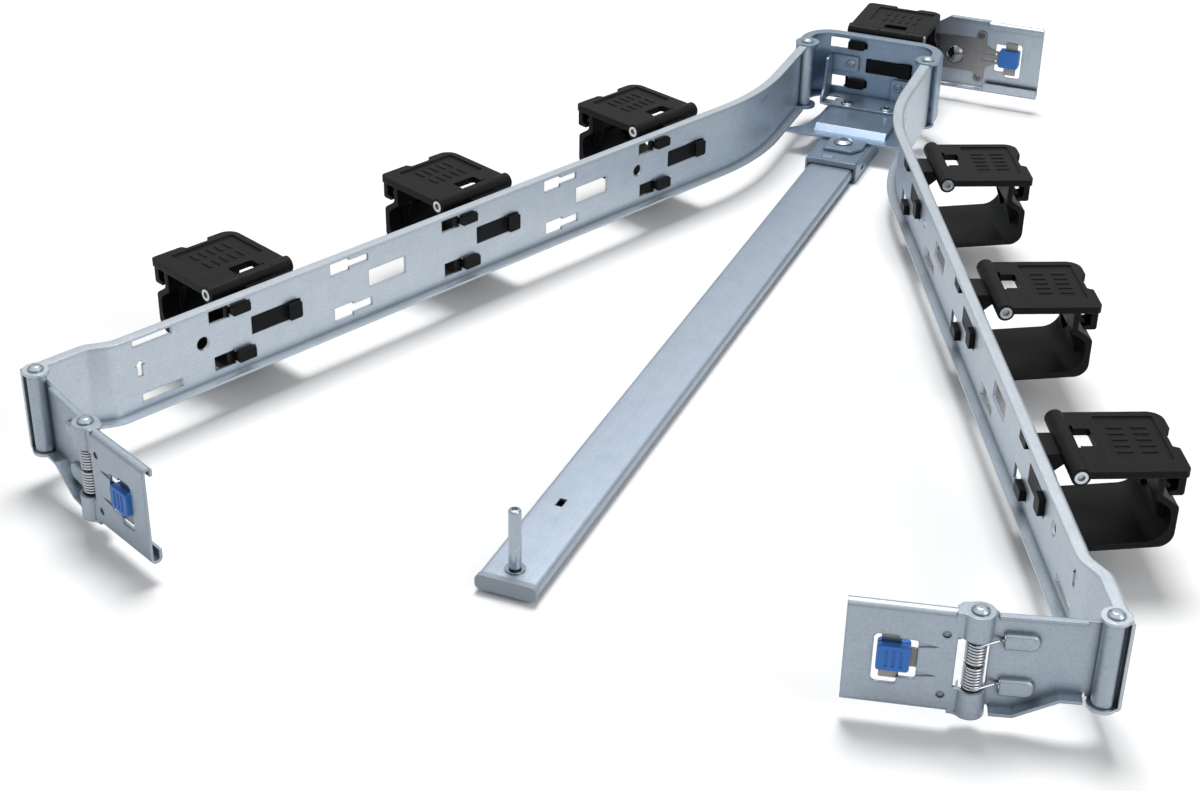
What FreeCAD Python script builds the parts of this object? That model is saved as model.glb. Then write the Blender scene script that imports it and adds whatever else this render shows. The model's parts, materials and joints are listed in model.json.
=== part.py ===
import FreeCAD, Part
import math
import os
import re
from types import SimpleNamespace

from FreeCAD import Placement, Rotation, Vector

os.makedirs("parts", exist_ok=True)
doc = FreeCAD.newDocument("cable_management_arm")

# Driving dimensions in millimetres and degrees.
# Names ending in _z are heights measured from the top face of the two arms, so most are negative.
sizes = {
    "origin_x": -5.6,
    "origin_y": 173.8,
    "arm_clearance": 12.6,
    "channel_height": 30.0,
    "gauge": 1.0,
    "bend": 1.4,
    "arm_length": 403.0,
    "arm_angle": 3.35,
    "flange_width": 4.5,
    "web_face": 0.56,
    "jog_start": 19.5,
    "jog_end": 27.5,
    "jog_bend": 8.0,
    "sweep_angle": 23.35,
    "sweep_bend": 110.0,
    "flange_stop": 6.5,
    "ear_radius": 4.3,
    "pin_radius": 1.65,
    "running": 0.05,
    "barrel_radius": 2.7,
    "barrel_gap": 0.2,
    "rivet_head": 2.5,
    "rivet_dome": 1.5,
    "elbow_half": 32.0,
    "elbow_face": 20.4,
    "elbow_bend": 13.6,
    "elbow_flange": 4.9,
    "elbow_ear": 5.2,
    "elbow_pivot": 27.1,
    "swivel_y": -28.0,
    "plate_gauge": 1.2,
    "plate_drop": 2.25,
    "rail_half": 9.9,
    "rail_low": 1.5,
    "rail_high": 6.3,
    "rail_wall": 0.9,
    "rail_front": -377.0,
    "rail_back": 8.0,
    "sleeve_half": 11.3,
    "sleeve_high": 9.0,
    "sleeve_gauge": 0.85,
    "sleeve_front": -46.0,
    "sleeve_back": -10.0,
    "liner": 0.4,
    "post_radius": 2.0,
    "post_neck": 1.4,
    "post_y": -371.8,
    "post_high": 28.0,
    "link_length": 35.3,
    "latch_length": 35.2,
    "latch_top_z": -1.9,
    "latch_low_z": -35.6,
    "latch_face": 2.2,
    "leaf_gauge": 0.4,
    "cover_radius": 4.25,
    "wire": 0.7,
    "coil_radius": 3.0,
    "basket_length": 34.5,
    "basket_depth": 33.0,
    "hinge_out": 7.8,
    "hinge_z": -2.1,
    "knuckle_radius": 3.0,
    "basket_pin": 2.1,
    "far_face": 65.0,
}
sheet = doc.addObject("Spreadsheet::Sheet", "Sizes")
for row, (alias, value) in enumerate(sizes.items(), 1):
    sheet.set("A%d" % row, alias)
    sheet.set("B%d" % row, str(value))
    sheet.setAlias("B%d" % row, alias)
doc.recompute()
s = SimpleNamespace(**sizes)
s.arm_top = s.arm_clearance + s.channel_height


# Text such as "gauge - channel_height" becomes an expression on the sheet's cells.
def tied(text):
    return re.sub(r"[a-z_]+", lambda word: "Sizes." + word.group(), str(text))


# A closed outline from corners (x, y) or (x, y, radius), with an arc at each rounded corner.
def outline(corners):
    turns = []
    for i, corner in enumerate(corners):
        here = Vector(corner[0], corner[1], 0)
        if len(corner) == 2:
            turns.append((here, here, here))
            continue
        back = Vector(*corners[i - 1][:2], 0) - here
        ahead = Vector(*corners[(i + 1) % len(corners)][:2], 0) - here
        back.normalize()
        ahead.normalize()
        half = back.getAngle(ahead) / 2
        reach = corner[2] / math.tan(half)
        inward = (back + ahead).normalize() * (corner[2] / math.sin(half) - corner[2])
        turns.append((here + back * reach, here + inward, here + ahead * reach))
    edges = []
    for i, (start, middle, end) in enumerate(turns):
        if start != end:
            edges.append(Part.Arc(start, middle, end))
        following = turns[(i + 1) % len(turns)][0]
        if following.distanceToPoint(end) > 1e-5:
            edges.append(Part.LineSegment(end, following))
    return edges


def box(x1, y1, x2, y2, radius=0):
    corners = [(x1, y1), (x2, y1), (x2, y2), (x1, y2)]
    return [corner + (radius,) for corner in corners] if radius else corners


def disc(x, y, radius):
    return ("disc", x, y, radius)


# The same open path moved to its right by a distance, its bends kept concentric.
def beside(path, distance):
    points = [Vector(p[0], p[1], 0) for p in path]
    runs = [(b - a).normalize() for a, b in zip(points, points[1:])]
    sides = [Vector(run.y, -run.x, 0) for run in runs]
    moved = []
    for i, point in enumerate(points):
        before = sides[max(i - 1, 0)]
        after = sides[min(i, len(sides) - 1)]
        shift = (before + after) * (distance / (1 + before.dot(after)))
        place = point + shift
        if len(path[i]) == 3:
            turn = runs[i - 1].cross(runs[i]).z
            moved.append((place.x, place.y, path[i][2] + math.copysign(distance, turn)))
        else:
            moved.append((place.x, place.y))
    return moved


# The sheet between two distances to the right of a path.
def strip(path, near, far):
    return beside(path, near) + beside(path, far)[::-1]


# The path made longer at both ends.
def stretched(path, extra):
    ends = []
    for end, inner in ((path[0], path[1]), (path[-1], path[-2])):
        away = (Vector(end[0], end[1], 0) - Vector(inner[0], inner[1], 0)).normalize() * extra
        ends.append((end[0] + away.x, end[1] + away.y))
    return [ends[0]] + path[1:-1] + [ends[1]]


# A frame at a plan position and height, turned about the vertical. Plan positions are measured from the
# point midway between the two elbow pivots, and the part's origin is the middle of its footprint.
def at(x, y, z=0.0, angle=0.0):
    return Placement(Vector(x + s.origin_x, y + s.origin_y, z), Rotation(Vector(0, 0, 1), angle))


# One piece as a body. Its side is -1 where it is the mirror image, across y, of the left one.
class Piece:
    def __init__(self, label, place, side=1):
        self.body = doc.addObject("PartDesign::Body", label)
        self.body.Label = label
        self.body.Placement = place
        self.side = side

    def sketch(self, plane, height, loops):
        sketch = self.body.newObject("Sketcher::SketchObject", self.body.Label + "_sketch")
        support = next(f for f in self.body.Origin.OriginFeatures if f.Role == plane)
        sketch.AttachmentSupport = [(support, "")]
        sketch.MapMode = "FlatFace"
        sketch.setExpression("AttachmentOffset.Base.z", tied(height))
        flip = {"XY_Plane": (1, self.side), "XZ_Plane": (1, 1), "YZ_Plane": (self.side, 1)}[plane]
        for loop in loops:
            if loop[0] == "disc":
                centre = Vector(loop[1] * flip[0], loop[2] * flip[1], 0)
                sketch.addGeometry([Part.Circle(centre, Vector(0, 0, 1), loop[3])], False)
            else:
                turned = [(c[0] * flip[0], c[1] * flip[1]) + tuple(c[2:]) for c in loop]
                sketch.addGeometry(outline(turned), False)
        return sketch

    # Start and end along the plane's normal. The XZ plane faces -y, and a mirror piece swaps its y.
    def span(self, plane, low, high):
        if plane == "XZ_Plane" and self.side == 1:
            return "-(%s)" % high, "-(%s)" % low
        return low, high

    def shape(self, kind, plane, low, high, loops):
        near, far = self.span(plane, low, high)
        adding = kind == "PartDesign::Pad"
        sketch = self.sketch(plane, near if adding else far, loops)
        feature = self.body.newObject(kind, self.body.Label + "_feature")
        feature.Profile = sketch
        feature.setExpression("Length", tied("(%s) - (%s)" % (high, low)))
        return feature

    def add(self, plane, low, high, *loops):
        return self.shape("PartDesign::Pad", plane, low, high, loops)

    def cut(self, plane, low, high, *loops):
        return self.shape("PartDesign::Pocket", plane, low, high, loops)

    # A solid of revolution about the vertical through the piece's origin; corners are (radius, z).
    def spin(self, corners):
        sketch = self.sketch("XZ_Plane", 0, [corners])
        feature = self.body.newObject("PartDesign::Revolution", self.body.Label + "_turned")
        feature.Profile = sketch
        feature.ReferenceAxis = (sketch, ["V_Axis"])
        feature.Angle = 360
        return feature

    # Round the long outer edges of a channel whose outer face follows the path.
    def round_bends(self, path):
        doc.recompute()
        tip = self.body.Tip
        side = [(p[0], p[1] * self.side) + tuple(p[2:]) for p in path]
        closed = outline(side)
        ridge = Part.Wire([edge.toShape() for edge in closed[:-1]])
        back = self.body.Placement.inverse()
        names = []
        for i, edge in enumerate(tip.Shape.Edges, 1):
            low, high = edge.BoundBox.ZMin, edge.BoundBox.ZMax
            if high - low > 0.01 or min(abs(low), abs(low + s.channel_height)) > 0.01:
                continue
            middle = edge.valueAt((edge.FirstParameter + edge.LastParameter) / 2)
            flat = Part.Vertex(middle.x, middle.y, 0)
            if flat.distToShape(ridge)[0] < 0.02:
                names.append("Edge%d" % i)
        fillet = self.body.newObject("PartDesign::Fillet", self.body.Label + "_bend")
        fillet.Base = (tip, names)
        fillet.setExpression("Radius", "Sizes.bend")

    # Round the edges of the newest pad's face at a distance out, but not at its end along x.
    def soften(self, out, radius, end):
        doc.recompute()
        tip = self.body.Tip
        names = []
        for i, edge in enumerate(tip.Shape.Edges, 1):
            points = [edge.valueAt(t) for t in edge.ParameterRange]
            flat = all(abs(p.y - out * self.side) < 0.01 for p in points)
            if flat and not all(abs(p.x - end) < 0.01 for p in points):
                names.append("Edge%d" % i)
        fillet = self.body.newObject("PartDesign::Fillet", self.body.Label + "_round")
        fillet.Base = (tip, names)
        fillet.Radius = radius


XY, XZ, YZ = "XY_Plane", "XZ_Plane", "YZ_Plane"
bore = s.pin_radius + s.running

# Plan positions of the four main pivots, from the bearings seen in the object
ELBOW_LEFT = (-s.elbow_pivot, 0.0)
ELBOW_RIGHT = (s.elbow_pivot, 0.0)
bearing = {"left": 67.2, "right": 114.98}


def along(point, distance, angle):
    turn = math.radians(angle)
    return point[0] + distance * math.cos(turn), point[1] + distance * math.sin(turn)


front_pivot = {
    "left": along(ELBOW_LEFT, -s.arm_length, bearing["left"] + s.arm_angle),
    "right": along(ELBOW_RIGHT, -s.arm_length, bearing["right"] - s.arm_angle),
}
link_bearing = {"left": -30.4, "right": -164.1}
latch_bearing = {"left": -25.2, "right": -167.5}
latch_pivot = {side: along(front_pivot[side], s.link_length, link_bearing[side]) for side in bearing}
mirror = {"left": 1, "right": -1}

# Window sets along the straight web: those that hold a basket, and those left empty
first_set = 65.0
set_pitch = (s.arm_length - 196.6) / 4
set_starts = [first_set + set_pitch * i for i in (0, 2, 4)]
empty_starts = [first_set + set_pitch * i for i in (1, 3)]
basket_shift = 5.7


# Two stepped windows for the basket's hooks and a wide one for its locking pad. A turned set runs the
# other way along the web.
def window_set(start, pad_length, turned=False):
    upper = [(0, -3.3), (8.5, -3.3), (8.5, -4.3), (17, -4.3), (17, -7), (8.5, -7), (8.5, -8), (0, -8)]
    lower = [(1, -21), (9.5, -21), (9.5, -22), (18, -22), (18, -25.3), (9.5, -25.3), (9.5, -26.3), (1, -26.3)]
    pad = box(17, -18, 17 + pad_length, -11.2, 0.5)
    if turned:
        start, step = start + s.basket_length + 2 * basket_shift, -1
    else:
        step = 1
    return [[(start + step * c[0],) + tuple(c[1:]) for c in loop] for loop in (upper, lower, pad)]


# The channel arms. x runs along the straight web from the front pivot, y outwards.
def arm(label, side):
    m = mirror[side]
    piece = Piece(label, at(*front_pivot[side], s.arm_top, bearing[side]), m)
    turn = math.radians(s.sweep_angle)
    rear = Vector(*along((0, 0), s.arm_length, s.arm_angle), 0)
    run = Vector(math.cos(turn), math.sin(turn), 0)
    out = Vector(-run.y, run.x, 0)
    corner = rear.x + ((s.web_face - rear.y) * run.x - s.barrel_radius) / run.y
    tangent = rear + out * s.barrel_radius
    stop = tangent - run * s.flange_stop
    face = [(-3.0, s.flange_width), (s.jog_start, s.flange_width, s.jog_bend),
            (s.jog_end, s.web_face, s.jog_bend), (corner, s.web_face, s.sweep_bend), (stop.x, stop.y)]
    piece.add(XY, "-channel_height", 0, strip(face, 0, s.flange_width))
    piece.round_bends(face)
    piece.cut(XY, "gauge - channel_height", "-gauge", strip(stretched(face, 2), s.gauge, s.flange_width + 6))
    for low in (-s.channel_height, -s.gauge):
        piece.add(XY, low, low + s.gauge, disc(0, 0, s.ear_radius))
    piece.cut(XY, "-channel_height", 0, disc(0, 0, bore))
    low_z = s.gauge + s.barrel_gap - s.channel_height
    high_z = -s.gauge - s.barrel_gap
    tail = [(stop.x - run.x, stop.y - run.y), (tangent.x, tangent.y)]
    piece.add(XY, low_z, high_z, strip(tail, 0, s.gauge))
    piece.add(XY, low_z, high_z, disc(rear.x, rear.y, s.barrel_radius))
    piece.cut(XY, low_z, high_z, disc(rear.x, rear.y, bore))
    arrow = [(35, -13), (37, -11), (39, -13), (38, -13), (38, -17), (36, -17), (36, -13)]
    slots = [box(35, -5.6, 50.3, -2.7), box(37, -26.8, 53, -23.7), arrow]
    slots += [disc(62, -14.1, 2.45), disc(set_starts[2] - 0.4, -14.2, 2.35)]
    for start in set_starts:
        slots += window_set(start, 21, m < 0)
    for start in empty_starts:
        slots += window_set(start, 17, m < 0)
    piece.cut(XZ, s.web_face - 2 * s.gauge, s.web_face + s.gauge, *slots)
    mark = corner + 6.7
    piece.cut(XZ, -2, 12, [(mark, -9.4), (mark + 6, -7.4), (mark + 6, -6.6), (mark, -8.6)])
    return piece


for side in bearing:
    arm("arm_" + side, side)


# The elbow link: a short channel bent round the corner, with ears at both pivots
def elbow_link():
    piece = Piece("elbow_link", at(0, 0, s.arm_top))
    face = [(-s.elbow_half, -1.0), (-s.elbow_half, s.elbow_face, s.elbow_bend),
            (s.elbow_half, s.elbow_face, s.elbow_bend), (s.elbow_half, -1.0)]
    piece.add(XY, "-channel_height", 0, strip(face, 0, s.elbow_flange))
    piece.round_bends(face)
    inner = beside(stretched(face, 2), s.gauge)
    piece.cut(XY, "gauge - channel_height", "-gauge", inner)
    piece.cut(XY, "-channel_height", "gauge - channel_height", box(-23, -2, 23, s.elbow_face - s.gauge))
    for low in (-s.channel_height, -s.gauge):
        piece.add(XY, low, low + s.gauge, *[disc(x, 0, s.elbow_ear) for x in (-s.elbow_pivot, s.elbow_pivot)])
    piece.cut(XY, "-channel_height", 0, disc(-s.elbow_pivot, 0, bore), disc(s.elbow_pivot, 0, bore))
    rivets = [disc(x, z, small_rivet + s.running) for x, z in web_rivets]
    piece.cut(XZ, s.elbow_face - 2 * s.gauge, s.elbow_face + s.gauge, *window_set(elbow_start, 21), *rivets)


small_rivet = 1.25
web_rivets = [(-11.8, -14.7), (10.8, -22.6)]
shelf_rivets = [(-9.0, 8.0), (9.0, 8.0)]
elbow_start = -21.9
elbow_link()


# The bracket inside the elbow: a shelf, a side wall and two tabs on the web
def elbow_bracket():
    piece = Piece("elbow_bracket", at(0, 0, s.arm_top))
    shelf = -s.channel_height
    inside = s.elbow_face - s.gauge
    piece.add(XY, shelf, shelf + s.gauge, [(-21, 5, 1), (-18, 4, 1), (16, 4, 2), (16, inside), (-21, inside)])
    piece.add(YZ, -21, -20, [(5, shelf), (inside, shelf), (inside, -11, 2), (11, -10.5, 1), (8.5, -24, 3),
                             (5, -27, 2)])
    piece.add(XZ, inside - s.gauge, inside, box(-21, -18.2, -8, -11, 1.2))
    piece.add(XZ, inside - s.gauge, inside, [(7.4, shelf), (16, shelf), (16, -19, 1.2), (7.4, -19, 1.2)])
    piece.cut(XY, shelf - 1, shelf + 2, box(-20, 9, -14, 15),
              *[disc(x, y, small_rivet + s.running) for x, y in shelf_rivets])
    piece.cut(XZ, inside - 2, inside + 1, *[disc(x, z, small_rivet + s.running) for x, z in web_rivets])
    piece.cut(XY, shelf - 1, 1, [(-22, 18.8), (-18.2, 19.43), (-18.2, 20), (-22, 20)])


elbow_bracket()


# The wing-shaped plate under the bracket, its middle raised into a pan
def support_plate():
    piece = Piece("support_plate", at(0, 0, s.arm_top - s.channel_height - s.plate_drop))
    g = s.plate_gauge
    wing = [(-29.5, -24.5, 1), (29.5, -24.5, 1), (20.5, -15.5, 14), (18.7, -1.5, 20), (18, 15, 2),
            (-18, 15, 2), (-18.7, -1.5, 20), (-20.5, -15.5, 14)]
    tongue = [(-6.5, -23), (-6.5, -36.5, 0.6), (6.0, -36.5, 0.6), (9.5, -31, 0.6), (9.5, -23)]
    piece.add(XY, -g, 0, wing)
    piece.add(XY, -g, 0, tongue)
    piece.add(YZ, -16, 16, [(-19, 0), (-16.5, s.plate_drop), (14.2, s.plate_drop), (14.2, 0)])
    under = s.plate_drop - g
    piece.cut(YZ, -16 + g, 16 - g, [(-19 + g, -g), (-16.5 + g, under), (14.2 - g, under), (14.2 - g, -g)])
    piece.cut(XY, -g, s.plate_drop + 1, disc(0, s.swivel_y, swivel_radius + s.running),
              *[disc(x, y, small_rivet + s.running) for x, y in shelf_rivets])


swivel_radius = 2.2
support_plate()


# A domed head above z, a shank and a flat end, as (radius, z) corners of half a section
def rivet_profile(shank, head, dome, top, low, foot=0.0, foot_height=0.0):
    upper = [(0, top + dome), (head * 0.55, top + dome, dome * 0.6), (head, top + dome * 0.35, dome * 0.2),
             (head, top)]
    if not foot:
        return upper + [(shank, top), (shank, low), (0, low)]
    end = low - foot_height
    return upper + [(shank, top), (shank, low), (foot, low), (foot, end), (0, end)]


def pivot_pin(label, place, top, low):
    Piece(label, place).spin(rivet_profile(s.pin_radius, s.rivet_head, s.rivet_dome, top, low, 2.3, 0.8))


pivot_pin("pin_elbow_left", at(*ELBOW_LEFT, s.arm_top), 0, -s.channel_height)
pivot_pin("pin_elbow_right", at(*ELBOW_RIGHT, s.arm_top), 0, -s.channel_height)
for side in bearing:
    pivot_pin("pin_front_" + side, at(*front_pivot[side], s.arm_top), 0, -s.channel_height)
    pivot_pin("pin_latch_" + side, at(*latch_pivot[side], s.arm_top), s.latch_top_z, s.latch_low_z)


# A rivet solid along +z from its foot, for the groups; a dimpled one has a low ring for its head.
def rivet(radius, head, dome, grip, dimple=0.0):
    shank = Part.makeCylinder(radius, grip)
    if dimple:
        solid = shank.fuse(Part.makeCone(head, head - dome * 0.8, dome, Vector(0, 0, grip))).removeSplitter()
        return solid.cut(Part.makeCylinder(dimple, 2 * dome, Vector(0, 0, grip)))
    ball = (head * head + dome * dome) / (2 * dome)
    cap = Part.makeSphere(ball, Vector(0, 0, grip + dome - ball))
    return shank.fuse(cap.common(Part.makeCylinder(head, dome, Vector(0, 0, grip)))).removeSplitter()


def group(label, solids, place):
    item = doc.addObject("Part::Feature", label)
    item.Label = label
    item.Shape = Part.makeCompound(solids)
    item.Placement = place


def placed(solid, position, axis):
    copy = solid.copy()
    copy.Placement = Placement(position, Rotation(Vector(0, 0, 1), axis))
    return copy


web_grip = 2 * s.gauge
shelf_grip = s.gauge + s.plate_gauge
toward_front = Vector(0, -1, 0)
ring = rivet(small_rivet, 2.0, 0.5, web_grip, 1.0)
rivets = [placed(ring, Vector(x, s.elbow_face, s.arm_top + z), toward_front) for x, z in web_rivets]
shelf_low = s.arm_top - s.channel_height - s.plate_gauge
rivets += [placed(rivet(small_rivet, 3.0, 0.7, shelf_grip, 1.4), Vector(x, y, shelf_low), Vector(0, 0, 1))
           for x, y in shelf_rivets]
group("elbow_rivets", rivets, at(0, 0))

plate_base = s.arm_top - s.channel_height - s.plate_drop
sleeve_inner = s.sleeve_high - s.sleeve_gauge
Piece("pivot_rivet", at(0, s.swivel_y)).spin(
    rivet_profile(swivel_radius, 3.95, 1.4, plate_base + s.running, sleeve_inner + s.running))


# The sliding sleeve wraps the rail and stays open along the middle of its underside.
def sleeve_section(half, low, high, wall, roof, gap, outer):
    return [(-gap, low), (-half, low, outer), (-half, high, outer), (half, high, outer), (half, low, outer),
            (gap, low), (gap, low + wall), (half - wall, low + wall, 0.2), (half - wall, high - roof, 0.2),
            (wall - half, high - roof, 0.2), (wall - half, low + wall, 0.2), (-gap, low + wall)]


def slider():
    sleeve = Piece("slider_sleeve", at(0, 0))
    wall = s.sleeve_gauge
    sleeve.add(XZ, "sleeve_front", "sleeve_back",
               sleeve_section(s.sleeve_half, 0, s.sleeve_high, wall, wall, 7.0, 1.2))
    window = box(-5, s.sleeve_front + 2, 0, s.sleeve_front + 5)
    sleeve.cut(XY, 3, s.sleeve_high, window, disc(0, s.swivel_y, swivel_radius))
    sleeve.cut(YZ, 0, 12, [(-38, 3.2), (-34, 3.2), (-34, 4.6), (-38, 4.6)])
    liner = Piece("slider_liner", at(0, 0))
    edge = wall + 0.02
    roof = s.sleeve_high - edge - s.rail_high - 0.15
    liner.add(XZ, "sleeve_front + 0.5", "sleeve_back - 0.5",
              sleeve_section(s.sleeve_half - edge, edge, s.sleeve_high - edge, s.liner, roof, 7.2, 0.4))
    liner.add(XY, s.sleeve_high - edge - 0.3, s.sleeve_high,
              box(-4.85, s.sleeve_front + 2.2, -0.15, s.sleeve_front + 4.8))


slider()


# The fixed rail, its end cap, the upright mounting pin with its snap ring, and the strip inside
def rail():
    tube = Piece("support_rail", at(0, 0))
    tube.add(XZ, "rail_front", "rail_back", box(-s.rail_half, s.rail_low, s.rail_half, s.rail_high, 1.8),
             box(s.rail_wall - s.rail_half, s.rail_low + s.rail_wall, s.rail_half - s.rail_wall,
                 s.rail_high - s.rail_wall, 0.9))
    tube.cut(XY, s.rail_high - s.rail_wall, s.rail_high, box(-3.0, -334.8, -0.6, -330.3, 0.5))
    tube.cut(XY, s.rail_high - s.rail_wall, s.rail_high, disc(0, s.post_y, s.post_neck + s.running))
    cap = Piece("rail_end_cap", at(0, 0))
    cap.add(XZ, s.rail_front - 2.2, s.rail_front, box(-10.1, 1.3, 10.1, 6.5, 1.9))
    cap.add(XZ, s.rail_front, s.rail_front + 2.2, box(-8.9, 2.5, 8.9, 5.3, 0.8))
    post = Piece("rail_mounting_pin", at(0, s.post_y))
    foot = s.rail_low + s.rail_wall
    shoulder = s.rail_high + 1.0
    post.spin([(0, foot), (s.post_neck, foot), (s.post_neck, shoulder), (s.post_radius, shoulder),
               (s.post_radius, s.post_high, 1.0), (0.9, s.post_high), (0.9, s.post_high - 0.5),
               (0, s.post_high - 0.5)])
    ring = Piece("rail_snap_ring", at(0, s.post_y))
    ring.add(XY, s.rail_high, s.rail_high + 0.5, disc(0, 0, 3.15), disc(0, 0, s.post_neck))
    ring.cut(XY, s.rail_high, s.rail_high + 0.5, box(-0.6, 1, 0.6, 4))
    inner = Piece("rail_inner_slide", at(0, 0))
    low = foot + 0.2
    back = s.far_face + s.gauge
    inner.add(XY, low, low + 1.2, box(-8.0, -120, 8.0, back + 0.1))
    top = s.arm_top - s.arm_clearance
    inner.add(XZ, back, back + 1.2, [(-8, low), (8, low), (8, 10, 1), (31, 10, 3), (31, top, 3),
                                     (-8, top, 3)])
    inner.cut(XZ, back - 1, back + 3, disc(far_dome[0], s.arm_top + far_dome[1], dome_shank + s.running))


far_dome = (25.0, -20.2)
dome_shank = 1.8
rail()

# Places on a latch plate, x from its hinge axis
rivet_x = 8.1
fold = 2.0
rivet_heights = (-9.4, -29.6)
window_x = (15.3, 20.4, 27.3)
window_z = (-27.8, -25.4, -12.4, -11.4)
leaf_rivet = 1.1
rivet_dent = 0.45


def latch_window(shift=0.0):
    a, b, c = (x + shift for x in window_x)
    low, inner_low, inner_high, high = window_z
    return [(a, inner_low, 0.8), (b, inner_low), (b, low, 0.8), (c, low, 1.5), (c, high, 1.5), (b, high, 0.8),
            (b, inner_high), (a, inner_high, 0.8)]


# The folded edges along the top and bottom of a latch plate
def latch_lips(piece, start, end):
    front = -s.latch_face
    top, low = s.latch_top_z, s.latch_low_z
    upper = [(front, top - 4), (front, top, fold), (1.3, top, fold - 0.6), (1.3, top - 3.2)]
    lower = [(1.8, low + 4.5), (1.8, low, fold - 0.2), (front, low, fold), (front, low + 5)]
    piece.add(YZ, start, end, strip(upper, 0, s.gauge), strip(lower, 0, s.gauge))


# Front latch plates. x runs from the latch pin to the free end, y to the side away from the button.
def latch_plate(side):
    piece = Piece("latch_plate_" + side, at(*latch_pivot[side], s.arm_top, latch_bearing[side]), mirror[side])
    front, back = -s.latch_face, s.gauge - s.latch_face
    top, low = s.latch_top_z, s.latch_low_z
    neck = 3.6
    lip_x = 6.0
    free_end = s.latch_length
    piece.add(XZ, front, back, [(neck, low), (lip_x, low), (lip_x, low + fold), (free_end, low + fold),
                                (free_end, top - fold), (lip_x, top - fold), (lip_x, top), (neck, top),
                                (neck, -10), (5.1, -10), (5.1, -27), (neck, -27)])
    for start, end in ((-10, top), (low, -27)):
        piece.add(XY, start, end, disc(0, 0, s.cover_radius))
        piece.cut(XY, start + (s.gauge if start == low else 0), end - (s.gauge if end == top else 0),
                  disc(0, 0, s.cover_radius - s.gauge))
    for start, end in ((-10, top - s.gauge), (low + s.gauge, -27)):
        piece.cut(XY, start, end, box(-5, -1.1, neck, 5))
    ear = [(-0.5, -4.1, 1), (4.5, front), (lip_x, front), (lip_x, 1.4), (4.6, 3.2, 1), (0, 4.2, 2)]
    for start in (top - s.gauge, low):
        piece.add(XY, start, start + s.gauge, ear)
    latch_lips(piece, lip_x, free_end)
    piece.cut(XY, low, top, disc(0, 0, bore))
    holes = [disc(rivet_x, z, leaf_rivet + s.running) for z in rivet_heights]
    piece.cut(XZ, front, back, latch_window(), *holes)
    mouth = window_x[0] + 0.4
    for z in (-13.9, -23.6):
        piece.cut(XZ, front, front + 0.35, [(mouth, z - 0.8), (mouth, z + 0.8), (9.6, z)])


# The far latch plate has no hinge, and is fixed to the strip that slides in the rail.
far_shift = 28.4


def far_latch_plate():
    piece = Piece("far_latch_plate", at(0, far_place, s.arm_top), -1)
    front, back = -s.latch_face, s.gauge - s.latch_face
    top, low = s.latch_top_z, s.latch_low_z
    end = 64.6
    lip_x, slope_x = 40.0, 22.0
    piece.add(XZ, front, back, [(13, low + fold, 4), (end, low + fold), (end, top - fold),
                                (lip_x, top - fold), (lip_x, top), (slope_x, top, 2), (13, top - 6, 2)])
    latch_lips(piece, lip_x, end)
    foot = [(0.4, low), (front, low, fold), (front, low + 5)]
    piece.add(YZ, slope_x - 3, lip_x, strip(foot, 0, s.gauge))
    piece.add(XY, top - s.gauge, top, box(slope_x, front, lip_x, 0.2))
    holes = [disc(rivet_x + far_shift, z, leaf_rivet + s.running) for z in rivet_heights]
    holes.append(disc(*far_dome, dome_shank + s.running))
    piece.cut(XZ, front, back, latch_window(far_shift), *holes)


# The leaf spring behind a latch plate, ending in a cross bar that carries the button
def leaf(label, place, side, shift, start, slits):
    piece = Piece(label, place, side)
    near = s.gauge - s.latch_face
    far = near + s.leaf_gauge
    x = rivet_x + shift
    bar = 19.8 + shift
    piece.add(XZ, near, far, [(start, -27, 2), (x - 2, -27), (x - 2, -32, 2.2), (x + 2.6, -32, 2.2),
                              (x + 2.6, -24.5, 2), (x + 7, -22, 2), (bar, -22), (bar, -26.4, 0.5),
                              (bar + 5.5, -26.4, 0.5), (bar + 5.5, -11.0, 0.5), (bar, -11.0, 0.5),
                              (bar, -15.6), (x + 7, -15.6, 2), (x + 2.6, -14, 2), (x + 2.6, -7, 2.2),
                              (x - 2, -7, 2.2), (x - 2, -11), (start, -11, 2)])
    loops = [disc(x, z, leaf_rivet + s.running) for z in rivet_heights]
    loops.append(box(bar + 1.2, -20.8, bar + 4.3, -17.2))
    if slits:
        loops += [box(x + 1, z - 0.5, x + 8, z + 0.5, 0.45) for z in (-17.2, -20.4)]
        loops.append(disc(*far_dome, dome_shank + s.running))
    piece.cut(XZ, near, far, *loops)


# The push button stands out through the window, and a neck through the leaf joins it to its back block.
def button(label, place, side, shift):
    piece = Piece(label, place, side)
    back = s.gauge - s.latch_face
    front = -s.latch_face - 1.3
    x1, x2 = 17.2 + shift, 26.3 + shift
    neck_x = 21.15 + shift
    piece.add(XZ, front, back, box(x1, -22.6, x2, -14.6, 1.0))
    piece.add(XZ, back, back + s.leaf_gauge + 1.6, box(neck_x, -20.65, neck_x + 2.8, -17.35))
    piece.add(XZ, back + s.leaf_gauge, back + s.leaf_gauge + 1.6, box(x1, -22.6, x2, -14.6, 1.0))
    grooves = [box(x1 + 2 * i, -21.4, x1 + 2 * i + 0.9, -15.8) for i in (1, 2, 3)]
    piece.cut(XZ, front, front + 0.3, *grooves)


far_place = s.far_face + s.gauge - s.latch_face
for side in bearing:
    latch_plate(side)
    place = at(*latch_pivot[side], s.arm_top, latch_bearing[side])
    leaf("latch_leaf_" + side, place, mirror[side], 0.0, 6.2, False)
    button("latch_button_" + side, place, mirror[side], 0.0)
far_latch_plate()
leaf("far_latch_leaf", at(0, far_place, s.arm_top), -1, far_shift, 13.5, True)
button("far_latch_button", at(0, far_place, s.arm_top), -1, far_shift)


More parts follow.
